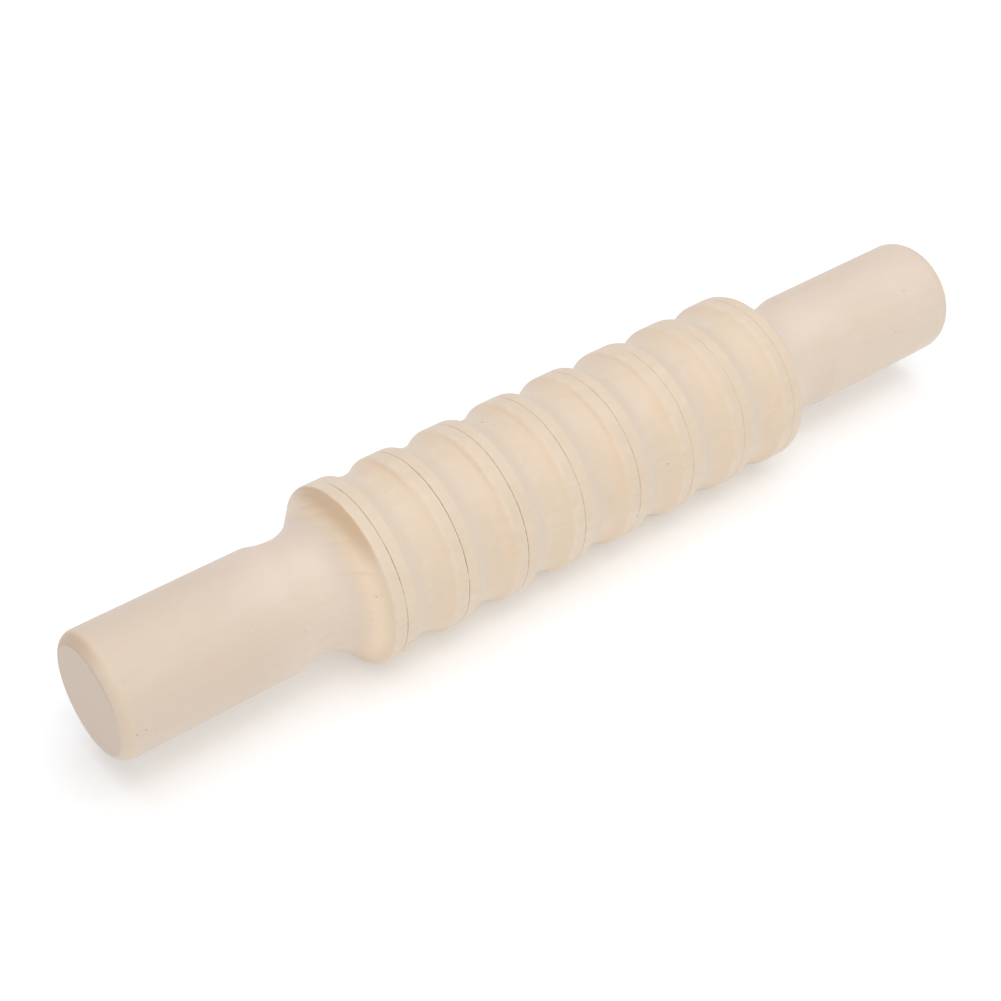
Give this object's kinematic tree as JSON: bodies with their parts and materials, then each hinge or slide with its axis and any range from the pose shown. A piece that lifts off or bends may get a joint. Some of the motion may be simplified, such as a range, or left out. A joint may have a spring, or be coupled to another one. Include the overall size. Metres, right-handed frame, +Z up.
{
  "type": "wood edge slicker",
  "caption": "Turned hardwood edge slicker: a ribbed and grooved burnishing body with a plain round grip at each end.",
  "frame": {"origin": "middle of the tool, on the axis that it was turned about", "axes": "+X along the axis of turning towards the far grip, +Z up with the tool lying on its side"},
  "size_m": [0.2022, 0.035, 0.035],
  "materials": {
    "wood": "bare sanded hardwood, satin"
  },
  "bodies": {
    "root": {"turned_body": "wood"}
  },
  "joints": []
}
